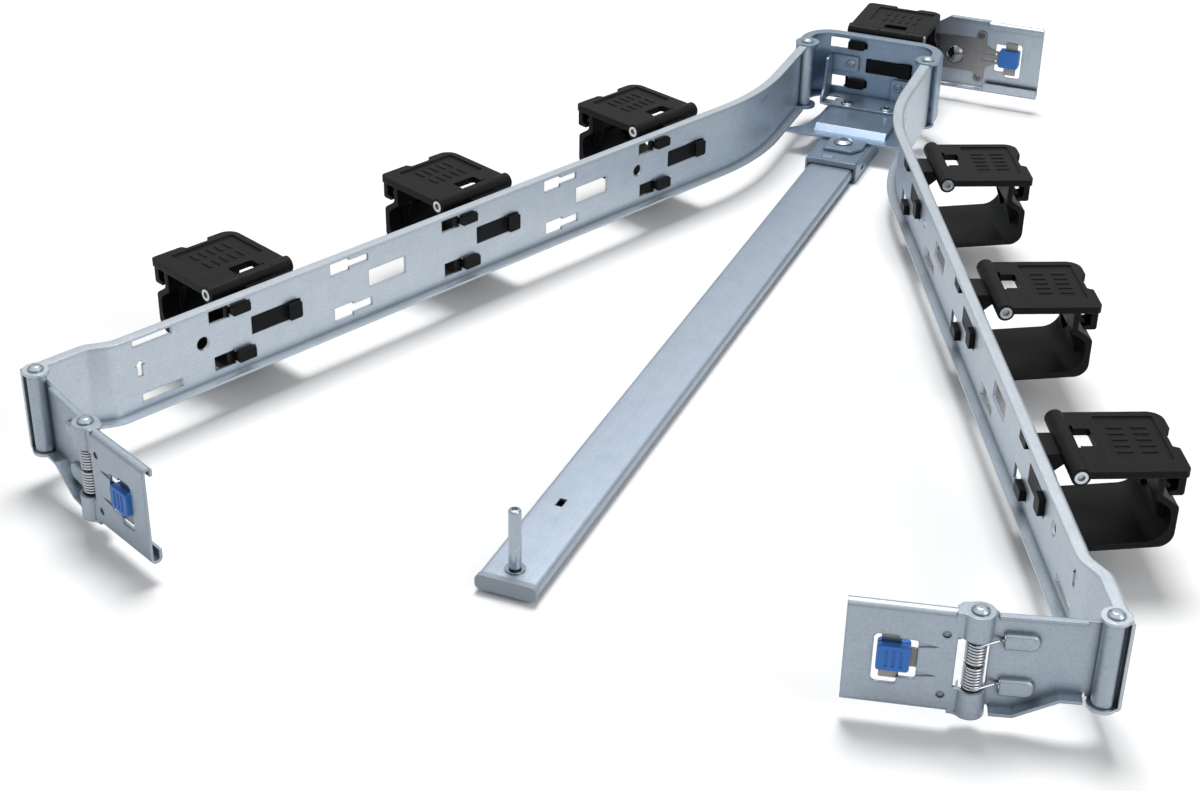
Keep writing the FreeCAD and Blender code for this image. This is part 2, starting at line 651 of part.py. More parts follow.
# Flat rivets that hold each leaf, in one group per latch; the far one adds its large dome.
def leaf_rivets(label, place, side, shift):
    grip = s.gauge + s.leaf_gauge
    small = rivet(leaf_rivet, 1.6, 0.4, grip - rivet_dent, 0.6)
    axis = Vector(0, side, 0)
    foot = (rivet_dent - s.latch_face) * side
    solids = [placed(small, Vector(rivet_x + shift, foot, z), axis) for z in rivet_heights]
    if shift:
        dome = rivet(dome_shank, 4.35, 2.2, grip + 1.2)
        solids.append(placed(dome, Vector(far_dome[0], s.latch_face + 1.2, far_dome[1]), axis))
    group(label, solids, place)


for side in bearing:
    place = at(*latch_pivot[side], s.arm_top, latch_bearing[side])
    leaf_rivets("latch_rivets_" + side, place, mirror[side], 0.0)
leaf_rivets("far_latch_rivets", at(0, far_place, s.arm_top), -1, far_shift)

pocket_heights = ((-14.4, -9.2), (-30.0, -24.4))


# The link plate between a front pivot and a latch. x runs between its two barrels, y to its plain side.
def link_plate(side):
    piece = Piece("link_plate_" + side, at(*front_pivot[side], s.arm_top, link_bearing[side]), mirror[side])
    back = s.barrel_radius
    front = back - s.gauge
    length = s.link_length
    high = -s.gauge - s.barrel_gap
    low = s.gauge + s.barrel_gap - s.channel_height
    cup_high = s.latch_top_z - s.gauge - 0.3
    cup_low = s.latch_low_z + s.gauge + 0.3
    foot = [(5.5, low), (11.5, low), (23.5, -35.2), (30, -35.2)]
    piece.add(XZ, front, back, [(0, low), (4.5, low), (4.9, low + 1.6), (5.5, low), (11.5, low),
                                (23.5, -35.2), (30, -35.2), (30.4, cup_low), (length, cup_low),
                                (length, -27.6), (31.5, -27.6), (31.5, -10.2), (length, -10.2),
                                (length, cup_high), (30.4, cup_high), (30, -3.9), (0, -3.9)])
    piece.add(XZ, 0.8, back, box(6.5, -4.9, 30, -3.9))
    piece.add(XZ, -2.2, back, strip(foot, 0, -s.gauge))
    piece.add(XY, low, high, disc(0, 0, s.barrel_radius + 0.5))
    for start, end in ((-10.2, cup_high), (cup_low, -27.6)):
        piece.add(XY, start, end, disc(length, 0, s.barrel_radius))
    for start, end in pocket_heights:
        piece.add(XZ, front - 1.9, front, [(18.3, start, 2.4), (27.8, start), (27.8, end), (18.3, end, 2.4)])
        piece.soften(front - 1.9, 1.0, 27.8)
        piece.cut(XZ, front - 1.1, back, box(19.1, start + 0.8, 27.8, end - 0.8))
    piece.cut(XY, -36, 0, disc(0, 0, bore), disc(length, 0, bore))


# Torsion springs round a latch pin, each with a leg reaching into its pocket
def coil(low, turns, leg_height, m):
    radius = s.coil_radius - s.wire / 2
    pitch = 1.4 * s.wire
    helix = Part.makeHelix(pitch, pitch * turns, radius)
    half = s.wire / 2
    corners = [Vector(radius - half, 0, -half), Vector(radius + half, 0, -half),
               Vector(radius + half, 0, half), Vector(radius - half, 0, half)]
    section = Part.makePolygon(corners + corners[:1])
    solid = Part.Wire(helix.Edges).makePipeShell([section], True, True)
    solid.translate(Vector(0, 0, low + half))
    path = [(-0.8, -2.45 * m), (-6.7, 1.1 * m), (-14.6, 1.1 * m)]
    flat = Part.Wire([edge.toShape() for edge in outline(strip(path, -half, half))])
    leg = Part.Face(flat).extrude(Vector(0, 0, s.wire))
    leg.translate(Vector(0, 0, leg_height - half))
    return [solid.fuse(leg)]


for side in bearing:
    link_plate(side)
    m = mirror[side]
    solids = coil(-18.2, 7, -11.8, m) + coil(-26.9, 8, -26.4, m)
    group("latch_springs_" + side, solids, at(*latch_pivot[side], s.arm_top, link_bearing[side]))

# Hinge layout along a basket: front lid knuckle, body knuckle, rear lid knuckle
knuckles = [(0.0, 13.8), (14.0, 26.5), (26.7, 34.5)]


# Basket body: back plate with its hooks, hinge bracket, floor and outer wall. x runs along the web.
def basket_body(label, place, side):
    piece = Piece(label, place, side)
    axis_y, axis_z = s.hinge_out, s.hinge_z
    wall = 2.0
    face = [(0.13, -29.6), (axis_y + 31.2, -27.2, 5), (axis_y + 31.2, -13.0, 2), (axis_y + 25.7, -9.2, 2),
            (axis_y + 25.7, axis_z - 0.9)]
    piece.add(YZ, 0.5, 34.0, strip(face, 0, -wall))
    piece.add(XZ, 0, 1.6, [(2, -29), (33, -29), (33, -10, 2), (27, -4, 2), (2, -4, 2)])
    bracket = [(0, -2.6), (axis_y - 2.2, -2.6), (axis_y, axis_z - 3.0), (1.0, -11)]
    piece.add(YZ, *knuckles[1], bracket)
    piece.add(YZ, *knuckles[1], disc(axis_y, axis_z, s.knuckle_radius))
    piece.cut(YZ, *knuckles[1], disc(axis_y, axis_z, s.basket_pin + 0.02))
    rib = [(axis_y + 23.8, -9), (axis_y + 29.3, -12.5), (axis_y + 29.3, -25.5)]
    for x in (8.0, 26.0):
        piece.add(YZ, x, x + 1.4, rib)
    catch = [(axis_y + 25.6, axis_z - 2.0), (axis_y + 27.6, axis_z - 3.6), (axis_y + 27.6, axis_z - 4.6),
             (axis_y + 25.6, axis_z - 4.6)]
    piece.add(YZ, 1.5, 8.5, catch)
    notch = [(19, axis_z), (28, axis_z), (24, axis_z - 5, 1)]
    piece.cut(XZ, axis_y + 22, axis_y + 27, notch)
    hook = -s.gauge - 0.05

    def facing(x1, z1, x2, z2, radius=0):
        if side < 0:
            x1, x2 = s.basket_length - x2, s.basket_length - x1
        return box(x1, z1, x2, z2, radius)

    for low, high, shift in ((-7.0, -4.3, 0.0), (-25.3, -22.0, 1.0)):
        piece.add(XZ, hook, 0, facing(4 + shift, low + 0.1, 10 + shift, high - 0.1))
        piece.add(XZ, hook - 2.0, hook, facing(2.9 + shift, low - 0.4, 10.3 + shift, high + 0.4, 0.6))
    piece.add(XZ, -s.gauge, 0, facing(11.8, -17.7, 31.8, -11.5, 0.4))
    piece.add(XZ, hook - 1.8, -s.gauge, facing(26.2, -17.7, 31.8, -11.5, 0.8))


# Basket lid: two knuckles, a recessed panel, a window by the hinge and the snap hook at its front end
def basket_lid(label, place, side):
    piece = Piece(label, place, side)
    axis_y, axis_z = s.hinge_out, s.hinge_z
    low, high = axis_z - 0.6, axis_z + 1.9
    edge = axis_y + s.basket_depth
    piece.add(XY, low, high, [(0, axis_y + 1.2, 1), (s.basket_length, axis_y + 1.2, 1),
                              (s.basket_length, edge, 5), (24, edge, 0.8), (23, edge - 2, 0.8),
                              (14, edge - 2, 0.8), (13, edge, 0.8), (0, edge, 2)])
    piece.cut(XY, high - 0.6, high, box(6, axis_y + 10.5, 32, axis_y + 29.5, 1.0))
    for span in (knuckles[0], knuckles[2]):
        piece.add(YZ, *span, disc(axis_y, axis_z, s.knuckle_radius))
    reach = s.knuckle_radius + 0.35
    gap = box(axis_y - reach, axis_z - reach, axis_y + reach, axis_z + reach)
    piece.cut(YZ, knuckles[0][1], knuckles[2][0], gap)
    piece.cut(XY, low, high, box(14.6, axis_y + 3.2, 24.8, axis_y + 8.2, 0.8))
    hook = [(axis_y + 29.8, low + 0.5), (edge - 1.0, low + 0.5), (edge - 1.0, axis_z - 7.1, 0.9),
            (axis_y + 27.5, axis_z - 7.1, 0.4), (axis_y + 27.5, axis_z - 5.9), (axis_y + 29.8, axis_z - 5.4)]
    piece.add(YZ, 0.8, 8.8, hook)
    piece.cut(YZ, 0, s.basket_length, disc(axis_y, axis_z, s.basket_pin + s.running))


def basket_pin(label, place, side):
    piece = Piece(label, place, side)
    piece.add(YZ, -0.3, s.basket_length + 0.3, disc(s.hinge_out, s.hinge_z, s.basket_pin))
    for end in (-0.3, s.basket_length - 0.5):
        piece.cut(YZ, end, end + 0.8, disc(s.hinge_out, s.hinge_z, 1.1))


def basket(name, place, side):
    basket_body("basket_body_" + name, place, side)
    basket_lid("basket_lid_" + name, place, side)
    basket_pin("basket_pin_" + name, place, side)


for side in bearing:
    m = mirror[side]
    base = at(*front_pivot[side], s.arm_top, bearing[side])
    for number, start in enumerate(set_starts, 1):
        shift = Placement(Vector(start + basket_shift, s.web_face * m, 0), Rotation())
        basket("%s_%d" % (side, number), base.multiply(shift), m)
basket("elbow", at(elbow_start + basket_shift, s.elbow_face, s.arm_top), 1)

doc.recompute()

# Every object must have been built, and every pocket must have taken something away.
nodes = [o for o in doc.Objects if o.TypeId == "PartDesign::Body" or o.TypeId == "Part::Feature"]
problems = [o.Label for o in doc.Objects if "Invalid" in o.State or "Error" in o.State]
for item in doc.Objects:
    if item.TypeId == "PartDesign::Pocket" and item.BaseFeature.Shape.Volume - item.Shape.Volume < 1e-3:
        problems.append(item.Label + " cuts nothing")
for item in nodes:
    if item.Shape.isNull() or not item.Shape.isValid() or item.Shape.Volume <= 0:
        problems.append(item.Label + " has no valid shape")
if problems:
    raise SystemExit("not built: " + ", ".join(problems))

for item in nodes:
    item.Shape.exportStep("parts/%s.step" % item.Label)
whole = FreeCAD.BoundBox()
for item in nodes:
    whole.add(item.Shape.BoundBox)
print(len(nodes), "nodes", whole)
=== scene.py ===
import json
import math

import bmesh
import bpy
from mathutils import Matrix, Vector


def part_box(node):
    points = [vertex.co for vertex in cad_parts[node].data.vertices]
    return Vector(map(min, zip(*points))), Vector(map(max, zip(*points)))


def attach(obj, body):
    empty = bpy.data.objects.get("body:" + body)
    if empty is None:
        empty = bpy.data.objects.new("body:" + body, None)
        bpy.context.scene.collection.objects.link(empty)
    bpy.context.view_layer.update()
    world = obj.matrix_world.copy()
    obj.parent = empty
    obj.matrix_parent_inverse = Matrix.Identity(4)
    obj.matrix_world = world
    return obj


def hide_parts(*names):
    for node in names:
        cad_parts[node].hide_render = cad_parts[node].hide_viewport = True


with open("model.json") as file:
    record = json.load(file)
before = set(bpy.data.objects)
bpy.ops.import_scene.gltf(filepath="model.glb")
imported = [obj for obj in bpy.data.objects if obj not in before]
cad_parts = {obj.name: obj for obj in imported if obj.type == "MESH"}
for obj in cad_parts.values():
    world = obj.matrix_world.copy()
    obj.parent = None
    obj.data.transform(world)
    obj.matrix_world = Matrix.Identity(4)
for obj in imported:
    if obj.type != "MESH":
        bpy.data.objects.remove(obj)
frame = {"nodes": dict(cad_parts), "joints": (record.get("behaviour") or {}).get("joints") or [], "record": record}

nodes = frame["nodes"]
joints = {joint["name"]: joint for joint in frame["joints"]}
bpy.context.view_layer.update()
mm = 0.001
sides = {"left": 1, "right": -1}
print("frame loaded:", len(nodes), "nodes")

# Camera, fitted to the long edges of the arms and the rail
view = {
    "place": (0.2078, -0.6645, 0.3660),
    "down": 30.24,
    "turn": 21.835,
    "roll": 1.045,
    "lens": 62.19,
}


def addCamera():
    data = bpy.data.cameras.new("benchCamera")
    data.sensor_width = 36
    data.lens = view["lens"]
    data.clip_start = 0.01
    camera = bpy.data.objects.new("benchCamera", data)
    bpy.context.scene.collection.objects.link(camera)
    aim = Matrix.Rotation(math.radians(view["turn"]), 4, "Z")
    aim = aim @ Matrix.Rotation(math.radians(90 - view["down"]), 4, "X")
    aim = aim @ Matrix.Rotation(math.radians(view["roll"]), 4, "Z")
    camera.matrix_world = Matrix.Translation(view["place"]) @ aim
    bpy.context.scene.camera = camera


addCamera()
print("camera placed")


# Small helpers for node trees
def addNode(tree, kind, **settings):
    node = tree.nodes.new(kind)
    for name, value in settings.items():
        setattr(node, name, value)
    return node


def feed(tree, socket, value):
    if isinstance(value, bpy.types.NodeSocket):
        tree.links.new(value, socket)
    else:
        socket.default_value = value


def maths(tree, operation, first, second=0.0):
    node = addNode(tree, "ShaderNodeMath", operation=operation)
    feed(tree, node.inputs[0], first)
    feed(tree, node.inputs[1], second)
    return node.outputs[0]


def mixColours(tree, factor, first, second, blend="MIX"):
    node = addNode(tree, "ShaderNodeMix", data_type="RGBA", blend_type=blend)
    feed(tree, node.inputs["Factor"], factor)
    feed(tree, node.inputs[6], first)
    feed(tree, node.inputs[7], second)
    return node.outputs[2]


def spread(tree, value, low, high, outLow=0.0, outHigh=1.0):
    node = addNode(tree, "ShaderNodeMapRange")
    node.clamp = True
    feed(tree, node.inputs["Value"], value)
    for name, number in (("From Min", low), ("From Max", high), ("To Min", outLow), ("To Max", outHigh)):
        feed(tree, node.inputs[name], number)
    return node.outputs["Result"]


def noise(tree, vector, scale, detail=4.0, roughness=0.55):
    node = addNode(tree, "ShaderNodeTexNoise")
    feed(tree, node.inputs["Vector"], vector)
    feed(tree, node.inputs["Scale"], scale)
    node.inputs["Detail"].default_value = detail
    node.inputs["Roughness"].default_value = roughness
    return node.outputs["Fac"]


def newGroup(name, inputs, outputs):
    tree = bpy.data.node_groups.new(name, "ShaderNodeTree")
    for label, kind, value in inputs:
        socket = tree.interface.new_socket(label, in_out="INPUT", socket_type=kind)
        socket.default_value = value
    for label, kind in outputs:
        tree.interface.new_socket(label, in_out="OUTPUT", socket_type=kind)
    return tree, addNode(tree, "NodeGroupInput").outputs, addNode(tree, "NodeGroupOutput").inputs


# Rolled sheet: soft blotches in the plating, fine lines along the rolling direction and tiny specks
plating = {
    "stretch": 0.02,  # of the lines along the rolling direction
    "lineScale": 2600.0,
    "cloudScale": 150.0,
    "grainScale": 1100.0,
    "lineShare": 0.5,
    "cloudShare": 0.22,
    "grainShare": 0.62,
    "grainHeight": 0.8,
    "roughGain": 0.05,
}


def makeRolledSheet():
    tree, given, result = newGroup("rolledSheet", [
        ("Vector", "NodeSocketVector", (0, 0, 0)),
        ("Pale", "NodeSocketColor", (0.6, 0.66, 0.72, 1)),
        ("Deep", "NodeSocketColor", (0.4, 0.46, 0.52, 1)),
        ("Lines", "NodeSocketFloat", 0.5),
        ("Shine", "NodeSocketFloat", 0.35),
    ], [("Colour", "NodeSocketColor"), ("Roughness", "NodeSocketFloat"), ("Height", "NodeSocketFloat")])
    along = addNode(tree, "ShaderNodeMapping", vector_type="POINT")
    along.inputs["Scale"].default_value = (plating["stretch"], 1.0, 1.0)
    tree.links.new(given["Vector"], along.inputs["Vector"])
    lines = noise(tree, along.outputs[0], plating["lineScale"], 3.0, 0.6)
    cloud = noise(tree, given["Vector"], plating["cloudScale"], 3.0, 0.6)
    grain = noise(tree, given["Vector"], plating["grainScale"], 4.0, 0.75)
    cloudPart = maths(tree, "MULTIPLY", spread(tree, cloud, 0.3, 0.7), plating["cloudShare"])
    lineShare = maths(tree, "MULTIPLY", given["Lines"], plating["lineShare"])
    linePart = maths(tree, "MULTIPLY", spread(tree, lines, 0.3, 0.7), lineShare)
    grainPart = maths(tree, "MULTIPLY", spread(tree, grain, 0.26, 0.74), plating["grainShare"])
    total = maths(tree, "ADD", maths(tree, "ADD", cloudPart, linePart), grainPart)
    tree.links.new(mixColours(tree, total, given["Deep"], given["Pale"]), result["Colour"])
    rough = maths(tree, "ADD", given["Shine"], maths(tree, "MULTIPLY", total, plating["roughGain"]))
    tree.links.new(rough, result["Roughness"])
    lineHeight = maths(tree, "MULTIPLY", lines, given["Lines"])
    grainHeight = maths(tree, "MULTIPLY", grain, plating["grainHeight"])
    tree.links.new(maths(tree, "ADD", lineHeight, grainHeight), result["Height"])
    return tree


# Rounds the look of every edge by a small radius, with one mask on the edge and a wider one beside it
def makeSoftEdge():
    tree, given, result = newGroup("softEdge", [
        ("Normal", "NodeSocketVector", (0, 0, 0)),
        ("Radius", "NodeSocketFloat", 0.0003),
        ("Rim Width", "NodeSocketFloat", 3.2),
    ], [("Normal", "NodeSocketVector"), ("Mask", "NodeSocketFloat"), ("Rim", "NodeSocketFloat")])
    rounded = addNode(tree, "ShaderNodeBevel", samples=6)
    tree.links.new(given["Radius"], rounded.inputs["Radius"])
    tree.links.new(given["Normal"], rounded.inputs["Normal"])
    plain = addNode(tree, "ShaderNodeNewGeometry")
    dot = addNode(tree, "ShaderNodeVectorMath", operation="DOT_PRODUCT")
    tree.links.new(rounded.outputs[0], dot.inputs[0])
    tree.links.new(plain.outputs["Normal"], dot.inputs[1])
    tree.links.new(rounded.outputs[0], result["Normal"])
    tree.links.new(spread(tree, dot.outputs["Value"], 0.99, 0.8), result["Mask"])
    wide = addNode(tree, "ShaderNodeBevel", samples=6)
    tree.links.new(maths(tree, "MULTIPLY", given["Radius"], given["Rim Width"]), wide.inputs["Radius"])
    lean = addNode(tree, "ShaderNodeVectorMath", operation="DOT_PRODUCT")
    tree.links.new(wide.outputs[0], lean.inputs[0])
    tree.links.new(plain.outputs["Normal"], lean.inputs[1])
    tree.links.new(spread(tree, lean.outputs["Value"], 0.995, 0.85), result["Rim"])
    return tree


# Crevices: 1 where another surface stands close in front, 0 in the open; the mask by which the steel has shade
# painted into its colour
def makeCreases():
    tree, given, result = newGroup("creases", [
        ("Reach", "NodeSocketFloat", 0.002),
    ], [("Mask", "NodeSocketFloat")])
    shade = addNode(tree, "ShaderNodeAmbientOcclusion", samples=6)
    tree.links.new(given["Reach"], shade.inputs["Distance"])
    tree.links.new(spread(tree, shade.outputs["AO"], 0.2, 0.9, 1.0, 0.0), result["Mask"])
    return tree


# Moulded plastic: fine spark texture, with a little dust greying it
def makeMoulded():
    tree, given, result = newGroup("mouldedSkin", [
        ("Base", "NodeSocketColor", (0.02, 0.02, 0.02, 1)),
        ("Dust", "NodeSocketColor", (0.06, 0.06, 0.065, 1)),
        ("Shine", "NodeSocketFloat", 0.4),
    ], [("Colour", "NodeSocketColor"), ("Roughness", "NodeSocketFloat"), ("Height", "NodeSocketFloat")])
    where = addNode(tree, "ShaderNodeTexCoord").outputs["Object"]
    fine = noise(tree, where, 2200.0, 2.0, 0.5)
    broad = noise(tree, where, 120.0, 4.0, 0.6)
    mask = maths(tree, "MULTIPLY", spread(tree, broad, 0.45, 0.75), 0.4)
    tree.links.new(mixColours(tree, mask, given["Base"], given["Dust"]), result["Colour"])
    rough = maths(tree, "ADD", given["Shine"], maths(tree, "MULTIPLY", spread(tree, broad, 0.3, 0.7), 0.1))
    tree.links.new(rough, result["Roughness"])
    tree.links.new(fine, result["Height"])
    return tree


# Geometry node trees: named inputs for sizes, and an output that is real mesh with its material set
def newTree(name, inputs, material):
    tree = bpy.data.node_groups.new(name, "GeometryNodeTree")
    tree.interface.new_socket("Geometry", in_out="INPUT", socket_type="NodeSocketGeometry")
    tree.interface.new_socket("Geometry", in_out="OUTPUT", socket_type="NodeSocketGeometry")
    for label, value in inputs.items():
        kind = "NodeSocketInt" if isinstance(value, int) else "NodeSocketFloat"
        socket = tree.interface.new_socket(label, in_out="INPUT", socket_type=kind)
        socket.default_value = value
    given = addNode(tree, "NodeGroupInput").outputs
    real = addNode(tree, "GeometryNodeRealizeInstances")
    paint = addNode(tree, "GeometryNodeSetMaterial")
    paint.inputs["Material"].default_value = material
    tree.links.new(real.outputs[0], paint.inputs["Geometry"])
    tree.links.new(paint.outputs[0], addNode(tree, "NodeGroupOutput").inputs["Geometry"])
    return tree, given, real.inputs["Geometry"]


# The mesh that a tree grows from a base mesh, with the values of this piece
def grow(label, tree, base, values):
    holder = bpy.data.objects.new(label + "Base", base)
    bpy.context.scene.collection.objects.link(holder)
    modifier = holder.modifiers.new("grow", "NODES")
    modifier.node_group = tree
    sockets = {item.name: item.identifier for item in tree.interface.items_tree if item.in_out == "INPUT"}
    for name, value in values.items():
        modifier[sockets[name]] = value
    graph = bpy.context.evaluated_depsgraph_get()
    mesh = bpy.data.meshes.new_from_object(holder.evaluated_get(graph), depsgraph=graph)
    holder.modifiers.remove(modifier)
    bpy.data.objects.remove(holder)
    mesh.name = label
    return mesh


# A base mesh of points, joined along each run of them, with a number for each run in the attribute "mark"
def runsOfPoints(label, runs, marks=None):
    points = [point for run in runs for point in run]
    edges, first = [], 0
    for run in runs:
        edges += [(first + i, first + i + 1) for i in range(len(run) - 1)]
        first += len(run)
    mesh = bpy.data.meshes.new(label)
    mesh.from_pydata(points, edges, [])
    if marks:
        layer = mesh.attributes.new("mark", "FLOAT", "POINT")
        layer.data.foreach_set("value", [float(mark) for run, mark in zip(runs, marks) for point in run])
    return mesh


rolledSheet = makeRolledSheet()
softEdge = makeSoftEdge()
creases = makeCreases()
mouldedSkin = makeMoulded()


def newMaterial(name):
    material = bpy.data.materials.new(name)
    material.use_nodes = True
    material.node_tree.nodes.clear()
    tree = material.node_tree
    shader = addNode(tree, "ShaderNodeBsdfPrincipled")
    output = addNode(tree, "ShaderNodeOutputMaterial")
    tree.links.new(shader.outputs[0], output.inputs["Surface"])
    return material, tree, shader


def useGroup(tree, group, **values):
    node = addNode(tree, "ShaderNodeGroup", node_tree=group)
    for name, value in values.items():
        feed(tree, node.inputs[name], value)
    return node


def bumped(tree, height, distance, strength=1.0):
    node = addNode(tree, "ShaderNodeBump")
    node.inputs["Strength"].default_value = strength
    node.inputs["Distance"].default_value = distance
    tree.links.new(height, node.inputs["Height"])
    return node.outputs["Normal"]


def tinted(colour, factor):
    return tuple(min(1.0, part * factor) for part in colour[:3]) + (1,)


# Plated steel, its rolling lines turned to run along the piece, with a painted highlight on each edge, a painted
# dark reflection in a band beside it and painted shade in crevices
def platedSteel(name, pale, deep, shine=0.36, turn=0.0, lines=0.5, edge=0.3 * mm, bump=0.01 * mm,
                metallic=0.9, reach=3 * mm, rim=0.5, rubbed=0.45, grime=0.85):
    material, tree, shader = newMaterial(name)
    mapping = addNode(tree, "ShaderNodeMapping", vector_type="TEXTURE")
    mapping.inputs["Rotation"].default_value = (0, 0, math.radians(turn))
    tree.links.new(addNode(tree, "ShaderNodeTexCoord").outputs["Object"], mapping.inputs["Vector"])
    skin = useGroup(tree, rolledSheet, Vector=mapping.outputs[0], Pale=pale, Deep=deep, Lines=lines,
                    Shine=shine)
    edges = useGroup(tree, softEdge, Normal=bumped(tree, skin.outputs["Height"], bump), Radius=edge)
    # the mask for painted shade in crevices
    hidden = useGroup(tree, creases, Reach=reach)
    colour = skin.outputs["Colour"]
    # painted light: edges lightened as a painted highlight, a band beside them darkened as a painted dark
    # reflection, crevices darkened as painted shade
    for mask, share, shade in ((edges.outputs["Rim"], rim, tinted(deep, 0.4)),
                               (edges.outputs["Mask"], rubbed, tinted(pale, 1.25)),
                               (hidden.outputs["Mask"], grime, tinted(deep, 0.22))):
        colour = mixColours(tree, maths(tree, "MULTIPLY", mask, share), colour, shade)
    tree.links.new(colour, shader.inputs["Base Color"])
    tree.links.new(skin.outputs["Roughness"], shader.inputs["Roughness"])
    tree.links.new(edges.outputs["Normal"], shader.inputs["Normal"])
    shader.inputs["Metallic"].default_value = metallic
    return material


def mouldedPlastic(name, base, dust, shine=0.4, edge=0.5 * mm, bump=0.03 * mm, specular=0.5, rubbed=1.2):
    material, tree, shader = newMaterial(name)
    skin = useGroup(tree, mouldedSkin, Base=base, Dust=dust, Shine=shine)
    edges = useGroup(tree, softEdge, Normal=bumped(tree, skin.outputs["Height"], bump), Radius=edge)
    # painted highlight: the colour is lightened along every edge
    edgeLit = mixColours(tree, maths(tree, "MULTIPLY", edges.outputs["Mask"], 0.8), skin.outputs["Colour"],
                      tinted(dust, rubbed))
    tree.links.new(edgeLit, shader.inputs["Base Color"])
    tree.links.new(skin.outputs["Roughness"], shader.inputs["Roughness"])
    tree.links.new(edges.outputs["Normal"], shader.inputs["Normal"])
    shader.inputs["Specular IOR Level"].default_value = specular
    return material


# Pale and deep are the two tones of the plating, turn is the rolling direction in degrees. The pieces are one
# plated steel; their tones differ partly as plating does and partly as painted light and shade: the arms and the
# far plate lighter, the elbow pieces darker, standing in for how the light falls on each
armTones = {"pale": (0.74, 0.80, 0.86, 1), "deep": (0.50, 0.57, 0.645, 1)}
steels = {
    "armLeft": dict(armTones, name="platedArmLeft", turn=67.2),
    "armRight": dict(armTones, name="platedArmRight", turn=114.98),
    "rail": dict(name="platedRail", pale=(0.53, 0.60, 0.69, 1), deep=(0.36, 0.43, 0.52, 1), turn=90.0,
                 shine=0.4),
    "sheet": dict(name="platedSheet", pale=(0.53, 0.60, 0.67, 1), deep=(0.34, 0.405, 0.475, 1)),
    "far": dict(name="platedFar", pale=(0.64, 0.71, 0.78, 1), deep=(0.43, 0.50, 0.575, 1)),
    "elbow": dict(name="platedElbow", pale=(0.43, 0.53, 0.64, 1), deep=(0.27, 0.355, 0.46, 1), shine=0.33),
    "pin": dict(name="turnedPin", pale=(0.80, 0.83, 0.86, 1), deep=(0.62, 0.66, 0.70, 1), shine=0.2,
                lines=0.2, edge=0.2 * mm, metallic=1.0),
    "head": dict(name="zincHead", pale=(0.58, 0.65, 0.72, 1), deep=(0.38, 0.44, 0.50, 1), shine=0.24,
                 lines=0.2, metallic=1.0),
    # the punched rivets spread their painted crease shade over a wider reach, standing in for the shade in their
    # dents
    "dent": dict(name="punchedRivet", pale=(0.40, 0.46, 0.52, 1), deep=(0.20, 0.24, 0.28, 1), shine=0.3,
                 lines=0.2, edge=0.2 * mm, reach=7 * mm),
    # the dome's dark tone stands in for the dark reflection its mirror-like face shows, a painted reflection
    "dome": dict(name="darkDome", pale=(0.30, 0.31, 0.33, 1), deep=(0.16, 0.165, 0.175, 1), shine=0.13,
                 lines=0.1, edge=0.2 * mm, metallic=1.0),
    "spring": dict(name="springWire", pale=(0.82, 0.85, 0.88, 1), deep=(0.60, 0.64, 0.68, 1), shine=0.16,
                   lines=0.0, edge=0.1 * mm, metallic=1.0),
    "leaf": dict(name="stainlessLeaf", pale=(0.42, 0.40, 0.39, 1), deep=(0.28, 0.265, 0.26, 1), shine=0.3,
                 lines=0.8, edge=0.1 * mm, metallic=1.0),
}
plastics = {
    # rubbed is the strength of the painted highlight on the plastic's edges
    "black": dict(name="blackNylon", base=(0.007, 0.007, 0.0075, 1), dust=(0.018, 0.0175, 0.020, 1),
                  shine=0.36, specular=0.12, rubbed=3.0),
    "blue": dict(name="blueAcetal", base=(0.030, 0.20, 0.66, 1), dust=(0.06, 0.26, 0.74, 1), shine=0.36,
                 edge=0.4 * mm),
    "cap": dict(name="greyCap", base=(0.33, 0.38, 0.45, 1), dust=(0.39, 0.44, 0.51, 1), shine=0.42),
}
materials = {label: platedSteel(**values) for label, values in steels.items()}
materials.update((label, mouldedPlastic(**values)) for label, values in plastics.items())
print("materials made:", len(materials))


def skinOf(name):
    if name.startswith(("basket_body", "basket_lid")):
        return "black"
    if "button" in name:
        return "blue"
    if name in ("rail_end_cap", "slider_liner"):
        return "cap"
    if "leaf" in name:
        return "leaf"
    if "springs" in name:
        return "spring"
    if name.startswith("basket_pin"):
        return "pin"
    if name.startswith(("pin_", "pivot_rivet", "elbow_rivets", "rail_mounting", "rail_snap")):
        return "head"
    if name == "far_latch_rivets":
        return "dome"
    if "rivets" in name:
        return "dent"
    if name in ("elbow_link", "elbow_bracket", "support_plate", "slider_sleeve"):
        return "elbow"
    return {"arm_left": "armLeft", "arm_right": "armRight", "support_rail": "rail",
            "rail_inner_slide": "rail", "far_latch_plate": "far"}.get(name, "sheet")


bodyOf = {name: body for body, members in frame["record"]["behaviour"]["bodies"].items() for name in members}


def addPiece(name, mesh, body, material):
    piece = bpy.data.objects.new(name, mesh)
    bpy.context.scene.collection.objects.link(piece)
    mesh.materials.clear()
    mesh.materials.append(material)
    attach(piece, body)
    return piece


# A finished piece that stands in the place of a solid
def finished(label, mesh, name, skin):
    piece = addPiece(label, mesh, bodyOf[name], materials[skin])
    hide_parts(name)
    return piece


def joinedWords(name):
    first, *others = name.split("_")
    return first + "".join(word.capitalize() for word in others)


# A copy of a solid with its triangles joined, its flats merged and its curves shaded smooth
def dressed(name, smooth=28.0):
    mesh = nodes[name].data.copy()
    work = bmesh.new()
    work.from_mesh(mesh)
    bmesh.ops.remove_doubles(work, verts=work.verts, dist=2e-6)
    bmesh.ops.dissolve_limit(work, angle_limit=math.radians(0.6), verts=work.verts, edges=work.edges)
    for face in work.faces:
        face.smooth = True
    for edge in work.edges:
        edge.smooth = len(edge.link_faces) == 2 and edge.calc_face_angle() < math.radians(smooth)
    work.to_mesh(mesh)
    work.free()
    return finished(joinedWords(name), mesh, name, skinOf(name))


